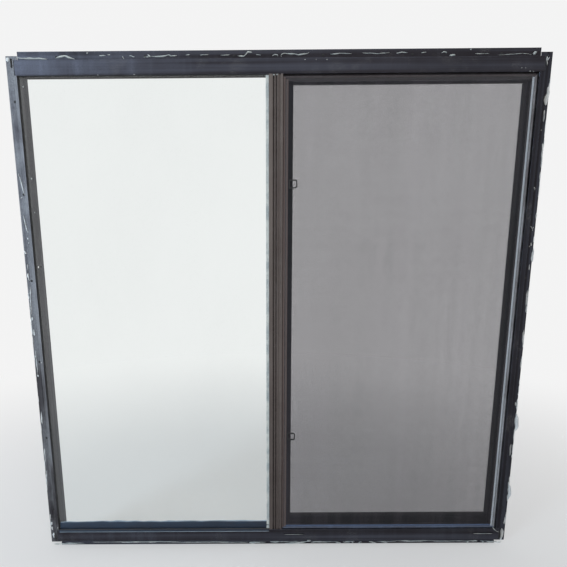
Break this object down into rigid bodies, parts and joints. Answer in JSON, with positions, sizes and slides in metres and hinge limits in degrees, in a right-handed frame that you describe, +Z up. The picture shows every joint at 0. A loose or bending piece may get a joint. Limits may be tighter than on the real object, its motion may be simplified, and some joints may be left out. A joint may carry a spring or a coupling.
{
  "type": "sliding window",
  "caption": "Horizontal sliding window with a nail fin: fixed pane, meeting mullion, sliding sash on rollers and an outside insect screen, in dark anodised aluminium.",
  "frame": {"origin": "on the back face of the sill's nail fin, at the middle of its length and height", "axes": "+X to the right seen from outdoors, +Y indoors through the wall, +Z up"},
  "size_m": [1.254, 0.0554, 1.254],
  "materials": {
    "bronze_frame": "dark bronze anodised, weathered, with old sealant on the fins",
    "bronze_light": "bronze anodised, satin and faded",
    "glass": "clear float glass, lightly dusty",
    "rubber": "black glazing rubber",
    "sealant": "off-white sealant, dull",
    "nylon": "white nylon",
    "pile": "grey woven pile",
    "black_plastic": "black moulded plastic",
    "insect_mesh": "charcoal glass-fibre insect mesh",
    "spline": "dark grey ribbed vinyl cord",
    "spring_metal": "bare spring steel"
  },
  "bodies": {
    "frame": {"frame_head": "bronze_frame", "frame_sill": "bronze_frame", "frame_jamb_left": "bronze_frame", "frame_jamb_right": "bronze_frame", "corner_pads": "rubber", "meeting_mullion": "bronze_light", "fixed_glass": "glass", "setting_blocks": "rubber", "glazing_gasket_left": "rubber", "glazing_gasket_top": "rubber", "glazing_gasket_bottom": "rubber", "mullion_sealant": "sealant", "sash_bumper": "rubber", "screen_top_rail": "bronze_light", "screen_bottom_rail": "bronze_light", "screen_left_stile": "bronze_light", "screen_right_stile": "bronze_light", "screen_mesh": "insect_mesh", "screen_spline": "spline", "screen_springs": "spring_metal", "screen_pull_upper": "black_plastic", "screen_pull_lower": "black_plastic"},
    "sash": {"sash_lock_stile": "bronze_frame", "sash_meeting_stile": "bronze_frame", "sash_top_rail": "bronze_frame", "sash_bottom_rail": "bronze_frame", "sash_glass": "glass", "sash_gasket_left": "rubber", "sash_gasket_right": "rubber", "sash_gasket_top": "rubber", "sash_gasket_bottom": "rubber", "roller_housing_left": "nylon", "roller_housing_right": "nylon", "roller_left": "nylon", "roller_right": "nylon", "pile_lock": "pile", "pile_meeting": "pile", "pile_top": "pile", "pile_bottom": "pile", "sash_latch": "black_plastic", "latch_lever": "black_plastic"}
  },
  "joints": [
    {"name": "sash_slide", "type": "slide", "parent": "frame", "child": "sash", "axis": [-1, 0, 0], "range_m": [0, 0.54]}
  ]
}
